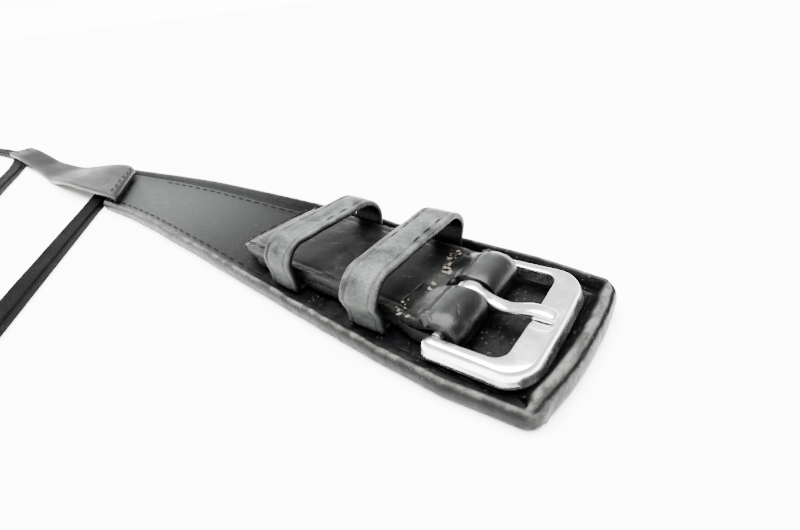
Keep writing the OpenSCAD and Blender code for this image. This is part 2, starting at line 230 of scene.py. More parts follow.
class StrapColours(bpy.types.PropertyGroup):
    """Colours of leather, thread and metal"""

    grain: FloatVectorProperty(
        name="Grain leather",
        description="Cover and rim",
        subtype="COLOR",
        size=3,
        default=(0.0005, 0.00043, 0.0006),
    )
    worn: FloatVectorProperty(
        name="Worn leather",
        description="Rubbed edges",
        subtype="COLOR",
        size=3,
        default=(0.055, 0.057, 0.053),
    )
    # painted sheen: a lighter colour standing in for the sky's reflection on the far leather and on the
    # chape's turn
    painted_sheen: FloatVectorProperty(
        name="Sheen",
        description="Dull bloom on the far leather",
        subtype="COLOR",
        size=3,
        default=(0.018, 0.0185, 0.0188),
    )
    keeper: FloatVectorProperty(
        name="Keeper leather",
        description="Rubbed grey bands",
        subtype="COLOR",
        size=3,
        default=(0.048, 0.0515, 0.0488),
    )
    thread: FloatVectorProperty(
        name="Thread",
        description="Waxed thread",
        subtype="COLOR",
        size=3,
        default=(0.0022, 0.0021, 0.0021),
    )
    steel: FloatVectorProperty(
        name="Buckle steel",
        description="Polished metal",
        subtype="COLOR",
        size=3,
        default=(0.8, 0.81, 0.8),
    )
    fibre: FloatVectorProperty(
        name="Dried fibre",
        description="Crusts and loose ends",
        subtype="COLOR",
        size=3,
        default=(0.034, 0.027, 0.018),
    )


def sizes():
    return bpy.context.scene.strap_sizes


def colours():
    return bpy.context.scene.strap_colours


# ---- making pieces ----


def finish_piece(bm, name, body, material, replaced=(), bevel=0.0, subdivide=0):
    """Turns a bmesh in millimetres into a smooth piece that rides on a body."""
    bmesh.ops.scale(bm, vec=(MM,) * 3, verts=bm.verts)
    for face in bm.faces:
        face.smooth = True
    mesh = bpy.data.meshes.new(name)
    bm.to_mesh(mesh)
    bm.free()
    piece = bpy.data.objects.new(name, mesh)
    bpy.context.scene.collection.objects.link(piece)
    mesh.materials.append(material)
    if bevel:
        rounding = piece.modifiers.new("Rounded edges", "BEVEL")
        rounding.width = bevel * MM
        rounding.segments = 2
        rounding.limit_method = "ANGLE"
        rounding.angle_limit = math.radians(50)
    if subdivide:
        finer = piece.modifiers.new("Finer surface", "SUBSURF")
        finer.levels = finer.render_levels = subdivide
    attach(piece, body)
    if replaced:
        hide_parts(*replaced)
    return piece


def bent_grid(columns, rows, place, weld=True):
    """A flat grid bent into shape. place(u, v) gives a point and how worn it is there, which on some pieces
    also carries painted highlight and painted shade, for u and v from 0 to 1.
    """
    bm = bmesh.new()
    wear_and_painted_light = bm.verts.layers.float.new("wear_and_painted_light")
    bmesh.ops.create_grid(bm, x_segments=columns, y_segments=rows, size=0.5)
    for vert in bm.verts:
        point, worn = place(vert.co.x + 0.5, vert.co.y + 0.5)
        vert.co = point
        vert[wear_and_painted_light] = worn
    if weld:
        bmesh.ops.remove_doubles(bm, verts=bm.verts, dist=1e-5)
    return bm


def close_up(bm):
    """Caps what is still open and turns every face outwards."""
    rims = [e for e in bm.edges if e.is_boundary]
    if rims:
        bmesh.ops.holes_fill(bm, edges=rims, sides=0)
    bmesh.ops.recalc_face_normals(bm, faces=bm.faces)
    return bm


def thicken(bm, thickness):
    """Gives a bent sheet its wall, on the side its faces turn away from."""
    bmesh.ops.recalc_face_normals(bm, faces=bm.faces)
    bmesh.ops.solidify(bm, geom=bm.faces[:], thickness=thickness)
    bmesh.ops.recalc_face_normals(bm, faces=bm.faces)
    return bm


# how far each way a line's direction is taken over, mm
DIRECTION_REACH = 0.6


def along(points, closed=False):
    """A function from 0..1 to a point and direction along a line of points, evenly by length."""
    line = points + [points[0]] if closed else points
    reach = [0.0]
    for a, b in zip(line, line[1:]):
        reach.append(reach[-1] + (b - a).length)
    total = reach[-1]

    def at(t):
        t = t % 1.0 if closed and t != 1.0 else clamped(t)
        i = min(len(line) - 2, max(0, bisect_left(reach, t * total) - 1))
        span = reach[i + 1] - reach[i]
        return line[i].lerp(line[i + 1], (t * total - reach[i]) / span if span else 0.0)

    def sample(t):
        step = DIRECTION_REACH / total
        if closed:
            ahead, behind = (t + step) % 1.0, (t - step) % 1.0
        else:
            ahead, behind = min(1, t + step), max(0, t - step)
        return at(t), (at(ahead) - at(behind)).normalized()

    return sample, total


def on_bar(x, y, z):
    """A point given in the buckle's own turned frame, with the bar's middle at its origin."""
    c, s = math.cos(BAR_TURN), math.sin(BAR_TURN)
    return Vector((x * c - y * s, x * s + y * c, z)) + BAR_AT


# ---- materials ----


class Nodes:
    """Short ways to add and join a material's nodes."""

    def __init__(self, name):
        self.material = bpy.data.materials.new(name)
        self.material.use_nodes = True
        self.tree = self.material.node_tree
        self.shader = self.tree.nodes["Principled BSDF"]
        self.place = self.add("ShaderNodeTexCoord").outputs["Object"]

    def add(self, kind, values=None, **settings):
        node = self.tree.nodes.new(kind)
        for key, value in settings.items():
            setattr(node, key, value)
        for key, value in (values or {}).items():
            self.put(node.inputs[key], value)
        return node

    def put(self, socket, value):
        if isinstance(value, bpy.types.NodeSocket):
            self.tree.links.new(value, socket)
        else:
            socket.default_value = value

    def mapped(self, scale, source=None):
        node = self.add("ShaderNodeMapping", {"Vector": source or self.place, "Scale": scale})
        return node.outputs[0]

    def lumps(self, per_metre, detail=4.0, roughness=0.55, source=None, distortion=0.0):
        values = {
            "Vector": source or self.place,
            "Scale": per_metre,
            "Detail": detail,
            "Roughness": roughness,
            "Distortion": distortion,
        }
        return self.add("ShaderNodeTexNoise", values).outputs[0]

    def cells(self, per_metre, feature="F1", source=None):
        values = {"Vector": source or self.place, "Scale": per_metre}
        node = self.add("ShaderNodeTexVoronoi", values, feature=feature)
        return node.outputs["Distance"]

    def span(self, value, low, high, to_low=0.0, to_high=1.0):
        values = {"Value": value, "From Min": low, "From Max": high, "To Min": to_low, "To Max": to_high}
        return self.add("ShaderNodeMapRange", values, interpolation_type="SMOOTHSTEP").outputs[0]

    def maths(self, operation, a, b):
        node = self.add("ShaderNodeMath", operation=operation)
        self.put(node.inputs[0], a)
        self.put(node.inputs[1], b)
        return node.outputs[0]

    def blend(self, factor, a, b):
        node = self.add("ShaderNodeMix", data_type="RGBA")
        self.put(node.inputs[0], factor)
        self.put(node.inputs[6], a)
        self.put(node.inputs[7], b)
        return node.outputs[2]

    def bump(self, height, depth_mm, strength=1.0, under=None):
        values = {"Height": height, "Distance": depth_mm * MM, "Strength": strength}
        node = self.add("ShaderNodeBump", values)
        if under:
            self.put(node.inputs["Normal"], under)
        return node.outputs[0]

    def along_strap(self):
        """How far along the strap a point lies, in metres."""
        return self.add("ShaderNodeSeparateXYZ", {"Vector": self.place}).outputs["X"]

    def attribute(self, name):
        return self.add("ShaderNodeAttribute", attribute_name=name).outputs["Fac"]

    def shade(self, **sockets):
        for key, value in sockets.items():
            self.put(self.shader.inputs[key.replace("_", " ")], value)
        return self.material


def rgba(colour, gain=1.0):
    return tuple(min(1.0, c * gain) for c in colour) + (1.0,)


def made_once(build):
    """Keeps one material per finish, however many pieces wear it."""
    kept = {}

    def get():
        if "made" not in kept:
            kept["made"] = build()
        return kept["made"]

    return get


@made_once
def grain_leather():
    """Black pebbled grain, worn grey where the vertex attribute says, which along the rim's crest is also a
    painted highlight, with dust in it, and lightened towards the far end as a painted sheen.
    """
    n = Nodes("Grain leather")
    pebbles = n.cells(1500, "SMOOTH_F1")
    creases = n.lumps(620, 5, 0.62, distortion=0.9)
    fine = n.lumps(5200, 3, 0.6)
    worn = n.attribute("wear_and_painted_light")
    patches = n.span(n.lumps(420, 4, 0.65), 0.42, 0.66)
    # worn grey, and along the rim's crest also a painted highlight
    wear_and_highlight = n.maths("MULTIPLY", worn, n.maths("ADD", patches, 0.35))
    dust = n.span(n.cells(1300), 0.2, 0.1)
    dusty = n.maths("MULTIPLY", dust, n.span(n.lumps(260, 3), 0.44, 0.6))
    base = n.blend(n.span(creases, 0.35, 0.7), rgba(colours().grain, 0.7), rgba(colours().grain, 2.2))
    # painted sheen: the grain colour is lightened towards the far end of the strap
    painted_sheen = n.span(n.along_strap(), -0.035, -0.1)
    base = n.blend(painted_sheen, base, rgba(colours().painted_sheen))
    base_with_wear_and_highlight = n.blend(wear_and_highlight, base, rgba(colours().worn))
    colour = n.blend(dusty, base_with_wear_and_highlight, (0.03, 0.028, 0.023, 1))
    gloss = n.span(creases, 0.3, 0.75, 0.3, 0.52)
    relief = n.maths("MULTIPLY", n.span(n.along_strap(), -0.06, -0.01, 0.12, 1.0), 0.5)
    skin = n.bump(pebbles, 0.07, relief)
    skin = n.bump(creases, 0.12, relief, skin)
    skin = n.bump(fine, 0.02, relief, skin)
    return n.shade(Base_Color=colour, Roughness=gloss, Normal=skin, Specular_IOR_Level=0.055)


@made_once
def chape_leather():
    """Polished black leather, smooth on the turn, with cracks and raw, dusty edges, a painted highlight band
    over the turn and a painted sheen on the far tip.
    """
    n = Nodes("Chape leather")
    worn = n.attribute("wear_and_painted_light")
    cloud = n.lumps(300, 4, 0.6)
    grain = n.lumps(2600, 5, 0.65)
    cracks = n.span(n.cells(330, "DISTANCE_TO_EDGE", n.mapped((0.35, 1.0, 0.6))), 0.0, 0.035)
    cracked = n.maths("MULTIPLY", n.maths("SUBTRACT", 1.0, cracks), n.span(cloud, 0.5, 0.62))
    base = n.blend(n.span(cloud, 0.35, 0.7), rgba(colours().grain, 0.4), rgba(colours().grain, 1.3))
    raw = n.blend(n.span(grain, 0.4, 0.65), (0.0006, 0.0006, 0.0006, 1), (0.008, 0.008, 0.0072, 1))
    colour = n.blend(n.maths("MULTIPLY", worn, n.span(grain, 0.35, 0.6)), base, raw)
    colour = n.blend(cracked, colour, (0.0001, 0.0001, 0.0001, 1))
    # lightened by the painted highlight and painted sheen kept on the vertices
    colour = n.blend(n.attribute("sheen"), colour, rgba(colours().painted_sheen, 0.95))
    gloss = n.maths("ADD", n.span(cloud, 0.3, 0.7, 0.28, 0.36), n.maths("MULTIPLY", worn, 0.35))
    skin = n.bump(grain, 0.05, 0.5)
    skin = n.bump(cracked, -0.08, 0.35, skin)
    return n.shade(Base_Color=colour, Roughness=gloss, Normal=skin, Specular_IOR_Level=0.13)


@made_once
def keeper_leather():
    """Rubbed grey-black band with fine scratches along it and black raw edges."""
    n = Nodes("Keeper leather")
    worn = n.attribute("wear_and_painted_light")
    cloud = n.lumps(260, 5, 0.62)
    grain = n.lumps(3400, 4, 0.7)
    pores = n.span(n.cells(1900), 0.02, 0.3)
    scratches = n.span(n.lumps(1200, 5, 0.7, n.mapped((6.0, 0.5, 0.5))), 0.55, 0.7)
    rub = n.blend(n.span(cloud, 0.3, 0.72), rgba(colours().keeper, 0.35), rgba(colours().keeper, 2.0))
    rub = n.blend(n.maths("MULTIPLY", scratches, 0.35), rub, rgba(colours().worn, 1.2))
    speckled = n.blend(n.maths("MULTIPLY", n.span(grain, 0.62, 0.5), 0.45), rub, rgba(colours().grain, 2.0))
    # the vertex value also darkens the keeper's sides, as painted shade
    colour = n.blend(worn, rgba(colours().grain, 1.2), speckled)
    gloss = n.span(cloud, 0.3, 0.7, 0.34, 0.5)
    skin = n.bump(pores, 0.03, 0.6)
    skin = n.bump(grain, 0.05, 0.7, skin)
    skin = n.bump(scratches, 0.02, 0.5, skin)
    return n.shade(Base_Color=colour, Roughness=gloss, Normal=skin, Specular_IOR_Level=0.1)


@made_once
def tail_leather():
    """Satin black strap leather with a soft stretch along it."""
    n = Nodes("Tail leather")
    worn = n.attribute("wear_and_painted_light")
    cloud = n.lumps(120, 4, 0.6, n.mapped((0.5, 1.5, 1.5)))
    grain = n.lumps(2800, 4, 0.65)
    base = n.blend(n.span(cloud, 0.3, 0.7), rgba(colours().grain, 1.2), rgba(colours().grain, 4.0))
    colour = n.blend(n.maths("MULTIPLY", worn, n.span(grain, 0.3, 0.7)), base, rgba(colours().worn, 0.8))
    skin = n.bump(grain, 0.05, 0.6)
    skin = n.bump(cloud, 0.5, 0.3, skin)
    gloss = n.span(cloud, 0.3, 0.7, 0.32, 0.48)
    return n.shade(Base_Color=colour, Roughness=gloss, Normal=skin, Specular_IOR_Level=0.08)


@made_once
def tie_leather():
    """Matt black lace leather."""
    n = Nodes("Tie leather")
    grain = n.lumps(2400, 5, 0.68)
    cloud = n.lumps(160, 3)
    colour = n.blend(n.span(cloud, 0.35, 0.65), rgba(colours().grain, 0.6), rgba(colours().grain, 1.8))
    skin = n.bump(grain, 0.06, 0.7)
    gloss = n.span(grain, 0.3, 0.7, 0.45, 0.62)
    return n.shade(Base_Color=colour, Roughness=gloss, Normal=skin, Specular_IOR_Level=0.015)


@made_once
def flesh_side():
    """The napped underside of the lining."""
    n = Nodes("Flesh side")
    nap = n.lumps(3800, 5, 0.75)
    colour = n.blend(n.span(nap, 0.35, 0.65), (0.0004, 0.0004, 0.0004, 1), (0.0017, 0.0016, 0.0014, 1))
    gloss = n.span(nap, 0.3, 0.7, 0.7, 0.9)
    return n.shade(Base_Color=colour, Roughness=gloss, Normal=n.bump(nap, 0.08, 0.8))


@made_once
def core_board():
    """Fibre board between the leathers."""
    n = Nodes("Core board")
    fibres = n.lumps(900, 6, 0.7, n.mapped((0.3, 2.0, 1.0)))
    colour = n.blend(n.span(fibres, 0.35, 0.65), (0.22, 0.17, 0.1, 1), (0.42, 0.35, 0.24, 1))
    gloss = n.span(fibres, 0.3, 0.7, 0.75, 0.95)
    return n.shade(Base_Color=colour, Roughness=gloss, Normal=n.bump(fibres, 0.05))


@made_once
def waxed_thread():
    """Grey thread with the twist of its plies."""
    n = Nodes("Waxed thread")
    twist = n.add("ShaderNodeTexWave", {"Vector": n.mapped((1, 1, 0.4)), "Scale": 620.0, "Distortion": 1.2})
    ply = twist.outputs["Fac"]
    soil = n.lumps(700, 4, 0.6)
    colour = n.blend(n.span(soil, 0.35, 0.7), rgba(colours().thread, 0.35), rgba(colours().thread, 1.3))
    colour = n.blend(n.maths("MULTIPLY", n.span(ply, 0.4, 0.0), 0.6), colour, rgba(colours().thread, 0.2))
    gloss = n.span(soil, 0.3, 0.7, 0.5, 0.7)
    skin = n.bump(ply, 0.06, 0.8)
    return n.shade(Base_Color=colour, Roughness=gloss, Normal=skin, Specular_IOR_Level=0.08)


@made_once
def buckle_steel():
    """Polished plated steel with hairline wear and faint clouding."""
    n = Nodes("Buckle steel")
    cloud = n.lumps(260, 4, 0.6)
    hairlines = n.span(n.lumps(900, 5, 0.75, n.mapped((1.0, 5.0, 1.0))), 0.5, 0.72)
    dents = n.lumps(700, 3, 0.5)
    dull = n.blend(n.span(cloud, 0.35, 0.7), rgba(colours().steel), rgba(colours().steel, 0.9))
    colour = n.blend(n.maths("MULTIPLY", hairlines, 0.25), dull, rgba(colours().steel, 0.7))
    gloss = n.maths("ADD", n.span(cloud, 0.3, 0.7, 0.16, 0.3), n.maths("MULTIPLY", hairlines, 0.08))
    skin = n.bump(dents, 0.02, 0.2)
    skin = n.bump(hairlines, 0.004, 0.5, skin)
    return n.shade(Base_Color=colour, Metallic=1.0, Roughness=gloss, Normal=skin)


@made_once
def bar_steel():
    """Plain bright drawn steel, a little dirty."""
    n = Nodes("Bar steel")
    drawn = n.lumps(1500, 4, 0.7, n.mapped((4.0, 0.4, 4.0)))
    colour = n.blend(n.span(drawn, 0.35, 0.65), (0.36, 0.36, 0.35, 1), (0.6, 0.61, 0.6, 1))
    gloss = n.span(drawn, 0.3, 0.7, 0.25, 0.45)
    return n.shade(Base_Color=colour, Metallic=1.0, Roughness=gloss, Normal=n.bump(drawn, 0.01, 0.5))


@made_once
def dried_fibre():
    """Crusted fibre and adhesive, pale and dull."""
    n = Nodes("Dried fibre")
    crust = n.lumps(2500, 5, 0.7)
    colour = n.blend(n.span(crust, 0.35, 0.6), rgba(colours().fibre, 0.25), rgba(colours().fibre, 1.3))
    gloss = n.span(crust, 0.3, 0.7, 0.6, 0.9)
    return n.shade(Base_Color=colour, Roughness=gloss, Normal=n.bump(crust, 0.08, 0.9))


@made_once
def studio_floor():
    """Plain pale sweep under the strap."""
    n = Nodes("Studio floor")
    drift = n.lumps(9, 2)
    colour = n.blend(n.span(drift, 0.3, 0.7), (0.93, 0.955, 0.92, 1), (0.95, 0.965, 0.94, 1))
    return n.shade(Base_Color=colour, Roughness=n.span(drift, 0.3, 0.7, 0.8, 0.9))


# ---- operators ----


class STRAP_OT_stage(bpy.types.Operator):
    """Lay out the pale floor, the soft lights and the camera"""

    bl_idname = "strap.stage"
    bl_label = "Studio stage"

    camera_at = (26.83, -44.59, 42.91)
    camera_right = (0.7764, 0.6221, -0.1006)
    camera_down = (0.2650, -0.4673, -0.8434)
    camera_forward = (-0.5717, 0.6282, -0.5277)
    camera_lens = 19.76
    floor_half = 12
    floor_drop = 0.00002
    sky_colour = (0.97, 1.0, 0.96, 1)
    # the sky's strength falls from its value at the horizon to its value overhead
    sky_band = (("From Min", 0.03), ("From Max", 0.16), ("To Min", 14.0), ("To Max", 1.7))
    sun_energy = 36.0
    sun_angle = math.radians(62)
    sun_way = (0.05, -0.02, -1.0)

    def execute(self, context):
        self.floor()
        self.lights(context)
        self.camera(context)
        return {"FINISHED"}

    def floor(self):
        """The floor, a hair below the strap's underside."""
        bm = bmesh.new()
        bmesh.ops.create_grid(bm, x_segments=2, y_segments=2, size=self.floor_half)
        mesh = bpy.data.meshes.new("floor")
        bm.to_mesh(mesh)
        bm.free()
        floor = bpy.data.objects.new("floor", mesh)
        bpy.context.scene.collection.objects.link(floor)
        mesh.materials.append(studio_floor())
        mesh.transform(Matrix.Translation((0, 0, -self.floor_drop)))

    def lights(self, context):
        """A sky that is bright low down, and one very soft sun."""
        world = bpy.data.worlds.new("Soft room")
        world.use_nodes = True
        tree = world.node_tree
        sky = tree.nodes["Background"]
        sky.inputs["Color"].default_value = self.sky_colour
        way = tree.nodes.new("ShaderNodeTexCoord")
        parts = tree.nodes.new("ShaderNodeSeparateXYZ")
        band = tree.nodes.new("ShaderNodeMapRange")
        for socket, value in self.sky_band:
            band.inputs[socket].default_value = value
        tree.links.new(way.outputs["Generated"], parts.inputs[0])
        tree.links.new(parts.outputs["Z"], band.inputs["Value"])
        tree.links.new(band.outputs[0], sky.inputs["Strength"])
        context.scene.world = world
        data = bpy.data.lights.new("daylight", "SUN")
        data.energy = self.sun_energy
        data.angle = self.sun_angle
        lamp = bpy.data.objects.new("daylight", data)
        lamp.rotation_euler = Vector(self.sun_way).to_track_quat("-Z", "Y").to_euler()
        context.scene.collection.objects.link(lamp)

    def camera(self, context):
        """The camera, given by its place and its three directions."""
        data = bpy.data.cameras.new("camera")
        data.lens = self.camera_lens
        data.sensor_width = 36
        data.clip_start = 0.001
        data.clip_end = 20
        camera = bpy.data.objects.new("camera", data)
        right, down, ahead = (Vector(v) for v in (self.camera_right, self.camera_down, self.camera_forward))
        turn = Matrix((right, -down, -ahead)).transposed().to_4x4()
        camera.matrix_world = Matrix.Translation(Vector(self.camera_at) * MM) @ turn
        context.scene.collection.objects.link(camera)
        context.scene.camera = camera


class STRAP_OT_cover(bpy.types.Operator):
    """Stretch the creased cover leather between the rims"""

    bl_idname = "strap.cover"
    bl_label = "Base cover"

    sheet = 0.5
    inset = 0.7
    back_gap, front_gap = 2.2, 1.4

    def execute(self, context):
        x0, x1 = BASE_X0 + self.back_gap, BASE_X1 - self.front_gap
        grain_depth = sizes().grain_depth

        def place(u, v):
            x = mix(x0, x1, u)
            near, far = BASE_NEAR(x) + self.inset, BASE_FAR(x) - self.inset
            middle = (near + far) / 2
            near, far = min(near, middle), max(far, middle)
            y = mix(near, far, v)
            side = min(y - near, far - y)
            crease = rough((x, y, 0), 2.6) * 0.8 + rough((x, y * 1.6, 0), 1.1, 4.0) * 0.5
            lift = 0.9 * smooth(1 - side / 1.8) + 0.1 * rough((x, y, 0), 14, 2.0)
            depth = grain_depth * mix(0.25, 1.0, smooth((x + 45) / 40))
            z = COVER_TOP + lift * 0.5 + crease * depth - 0.04
            return Vector((x, y, z)), 0.15 * smooth(1 - side / 2.2)

        bm = thicken(bent_grid(330, 60, place), self.sheet)
        finish_piece(bm, "cover_leather", "strap", grain_leather(), ["base_cover"])
        return {"FINISHED"}


class STRAP_OT_rim(bpy.types.Operator):
    """Roll the rim leather round the base, fattest across the front"""

    bl_idname = "strap.rim"
    bl_label = "Rolled rim"

    # distance in from the edge, height as a share of the rim's, and how worn it is; the high values along the
    # crest are rubbed leather and also a painted crest highlight
    side_section = (
        (0.75, 0.0, 0.0), (0.2, 0.12, 0.04), (0.0, 0.35, 0.08), (-0.02, 0.62, 0.06), (0.12, 0.84, 0.1),
        (0.34, 0.955, 0.7), (0.62, 1.0, 0.9), (0.95, 0.985, 0.2), (1.25, 0.9, 0.0), (1.5, 0.74, 0.0),
        (1.72, 0.56, 0.0), (1.95, 0.46, 0.0), (2.0, 0.3, 0.0), (1.4, 0.0, 0.0),
    )
    front_section = (
        (0.75, 0.0, 0.0), (0.12, 0.1, 0.05), (-0.08, 0.35, 0.15), (0.0, 0.62, 0.2), (0.2, 0.78, 0.5),
        (0.42, 0.8, 0.0), (0.66, 0.8, 0.0), (0.95, 0.94, 0.6), (1.35, 1.0, 1.0), (1.8, 0.96, 0.5),
        (2.4, 0.76, 0.0), (3.2, 0.56, 0.0), (3.8, 0.42, 0.0), (1.4, 0.0, 0.0),
    )

    near_share = 0.42
    station_step = 3
    column_step = 0.42

    def heights(self):
        """The rim's height along the strap, as the frame has it."""
        bm = merged("edge_roll")
        top = {}
        for vert in bm.verts:
            station = round(vert.co.x / self.station_step)
            if vert.co.z > COVER_TOP + 0.5:
                top.setdefault(station, []).append((vert.co.z, vert.co.x))
        bm.free()
        return Line([(max(pairs)[1], max(pairs)[0]) for pairs in top.values()])

    def execute(self, context):
        height = self.heights()
        sample, total = along([Vector((p.x, p.y, 0)) for p in BASE_LOOP], closed=True)
        centre = Vector((sum(p.x for p in BASE_LOOP), sum(p.y for p in BASE_LOOP), 0)) / len(BASE_LOOP)

        def place(u, v):
            at, ahead = sample(u)
            inward = Vector((-ahead.y, ahead.x, 0))
            if inward.dot(centre - at) < 0:
                inward = -inward
            front = smooth(-inward.x * 1.4 - 0.25) if at.x > 0 else 0.0
            corners = zip(self.side_section, self.front_section)
            section = [[mix(a, b, front) for a, b in zip(*corner)] for corner in corners]
            inset, share, worn = round_section(section, v)
            full = height(at.x)
            rise = front * smooth((at.y - BASE_NEAR(at.x - 4)) / 3.5)
            lowest = COVER_TOP + (full - COVER_TOP) * self.near_share
            top = mix(lowest, full, max(rise, smooth((at.y + 2) / 4)))
            z = share * (top - 0.05)
            spot = Vector((at.x, at.y, z * 1.5))
            outer = smooth(1 - inset / 2.5)
            wrinkle = (rough(spot, 1.5, 7.0) * 0.07 + rough(spot, 0.6, 1.0) * 0.03) * mix(0.4, 1.0, front)
            waviness = rough((at.x, at.y, 0), 9.0, 3.0) * 0.14 + rough((at.x, at.y, 0), 3.2, 9.0) * 0.06
            z += (wrinkle + waviness * share) * smooth(share * 2 - 0.4)
            point = at + inward * (inset + (wrinkle + waviness) * outer) + Vector((0, 0, z))
            point.z = max(point.z, 0.0)
            return point, max(0.0, worn)

        bm = bent_grid(round(total / self.column_step), len(self.side_section) * 3, place)
        bmesh.ops.recalc_face_normals(bm, faces=bm.faces)
        finish_piece(bm, "rim_leather", "strap", grain_leather(), ["edge_roll"])
        return {"FINISHED"}


class STRAP_OT_chape(bpy.types.Operator):
    """Fold the chape round the bar, slot it for the prong and round its tip"""

    bl_idname = "strap.chape"
    bl_label = "Folded chape"

    side_gap = 0.52
    middle_y = -0.3
    tip_back, taper = 2.0, 10.5
    bar_gap = 0.86
    foot = 1.0
    layer_gap = 0.1
    under_end = -39.5
    bulge = 0.55
    columns, rows = 300, 64

    def execute(self, context):
        s = sizes()
        half = (CHAPE_HIGH.y - CHAPE_LOW.y) / 2 - self.side_gap
        tip_x = CHAPE_LOW.x + self.tip_back
        taper = self.taper
        turn = s.turn_thickness / 2 + self.bar_gap
        low = CHAPE_LOW.z + self.foot + s.layer_thickness / 2
        top = low + s.layer_thickness + self.layer_gap
        # the middle line of the leather, from under the keepers, round the bar and back
        middle_line = [(self.under_end, low), (-9, low), (-6.5, low + 0.02), (-4.0, low - 0.35)]
        middle_line += [(-1.8, BAR_AT.z - turn + 0.06)]
        for k in range(25):
            a = math.radians(-90 + 180 * k / 24)
            x = turn * math.cos(a) + self.bulge * max(0, math.cos(a))
            middle_line.append((x, BAR_AT.z + turn * math.sin(a)))
        middle_line += [(-1.4, BAR_AT.z + turn - 0.02), (-3.2, top + 0.55), (-5.4, top + 0.12), (-8.5, top)]
        middle_line += [(-20, top), (tip_x + 8.5, top), (tip_x + 6.6, top - 0.12)]
        middle_line += [(tip_x + 0.1, COVER_TOP + 0.5)]
        sample, _ = along([Vector((x, 0, z)) for x, z in middle_line])

        def place(u, v):
            at, ahead = sample(u)
            up = Vector((-ahead.z, 0, ahead.x))
            if u < 0.5 and at.x < -1.5:
                out = -up if up.z > 0 else up
            else:
                out = up if (at - Vector((-0.4, 0, BAR_AT.z))).dot(up) > 0 else -up
            across = 2 * v - 1
            over = u > 0.5
            x = at.x
            width = half
            if over and x < tip_x + taper:
                width = half * math.sqrt(max(0.0, 1 - ((tip_x + taper - x) / (taper + 0.01)) ** 2)) + 0.02
            y = across * width
            edge = width - abs(y)
            on_turn = smooth((x + 5.5) / 3.0)
            lobe = (abs(y) - s.slot_half) / (half - s.slot_half)
            crown = (1 - (2 * lobe - 1) ** 4) * 0.28 * on_turn if lobe > 0 else 0.0
            sink = 0.32 * on_turn * smooth(1 - edge / 1.6)
            groove = 0.13 * bell(edge, 2.6, 0.28) * smooth((-x - 30) / 6) if over else 0.0
            seam = 0.1 * bell(edge, 1.5, 0.35) * (1 - on_turn) if over else 0.0
            spot = (x, y, at.z)
            ragged = (rough(spot, 0.55, 5.0) * 0.16 + rough(spot, 1.6, 2.0) * 0.14) * smooth(1.3 - edge)
            swell = rough((x, y, 0), 5.5, 6.0) * 0.1 * (1 - 0.7 * on_turn) + rough(spot, 1.4, 8.0) * 0.015
            offset = crown - sink - groove - seam + ragged * 0.5 + swell * (1 if over else 0.2)
            y -= math.copysign(abs(ragged) * 0.4, y)
            point = Vector((x, y, at.z)) + out * offset
            share = smooth((point.x + 7.5) / 5.0)
            straight = Vector((point.x, point.y + self.middle_y, point.z))
            turned = on_bar(point.x, point.y, point.z - BAR_AT.z)
            worn_edge = smooth(0.9 - edge) * mix(0.25, 0.75, smooth((x + 34) / 20))
            worn_fold = bell(x, -5.6, 1.3) * smooth(2.6 - abs(y)) if over else 0.0
            return straight.lerp(turned, share), max(worn_edge, worn_fold)

        bm = bent_grid(self.columns, self.rows, place, weld=False)
        # painted highlight along the top of the lobes over the bar, and painted sheen lightening the far tip
        sheen = bm.verts.layers.float.new("sheen")
        for vert in bm.verts:
            spot = vert.co - BAR_AT
            band = bell(spot.x, -0.9, 1.3) * smooth((spot.z - 0.6) / 1.2)
            tip = 0.6 * smooth((-30 - vert.co.x) / 12) if vert.co.z > CHAPE_LOW.z + 0.9 else 0.0
            vert[sheen] = max(tip, band * (0.75 + 0.25 * rough(vert.co, 1.3)))
        self.cut_slot(bm, s)
        bmesh.ops.remove_doubles(bm, verts=bm.verts, dist=0.004)
        self.wall(bm, s, top)
        close_up(bm)
        finish_piece(bm, "chape_leather", "strap", chape_leather(), ["chape"], bevel=0.16)
        return {"FINISHED"}

    def cut_slot(self, bm, s):
        """Opens the slot on both sides of the bar, up to its rounded back."""
        c, t = math.cos(BAR_TURN), math.sin(BAR_TURN)
        back = s.slot_back - s.slot_half

        def from_slot(at):
            """Place in the bar's frame, and the way out of the slot with its length."""
            at = at - BAR_AT
            x, y = at.x * c + at.y * t, -at.x * t + at.y * c
            out = Vector((min(0.0, x + back), y))
            return out, out.length

        gone = [f for f in bm.faces if from_slot(f.calc_center_median())[1] < s.slot_half]
        bmesh.ops.delete(bm, geom=gone, context="FACES")
        for _ in range(4):
            pinched = [v for v in bm.verts if sum(e.is_boundary for e in v.link_edges) > 2]
            loose = {f for v in pinched for f in v.link_faces if sum(e.is_boundary for e in f.edges) > 1}
            bmesh.ops.delete(bm, geom=list(loose), context="FACES")
        for vert in bm.verts:
            out, reach = from_slot(vert.co)
            if 0.01 < reach < s.slot_half + 0.35 and any(e.is_boundary for e in vert.link_edges):
                x, y = out * (s.slot_half / reach - 1)
                vert.co += Vector((x * c - y * t, x * t + y * c, 0))

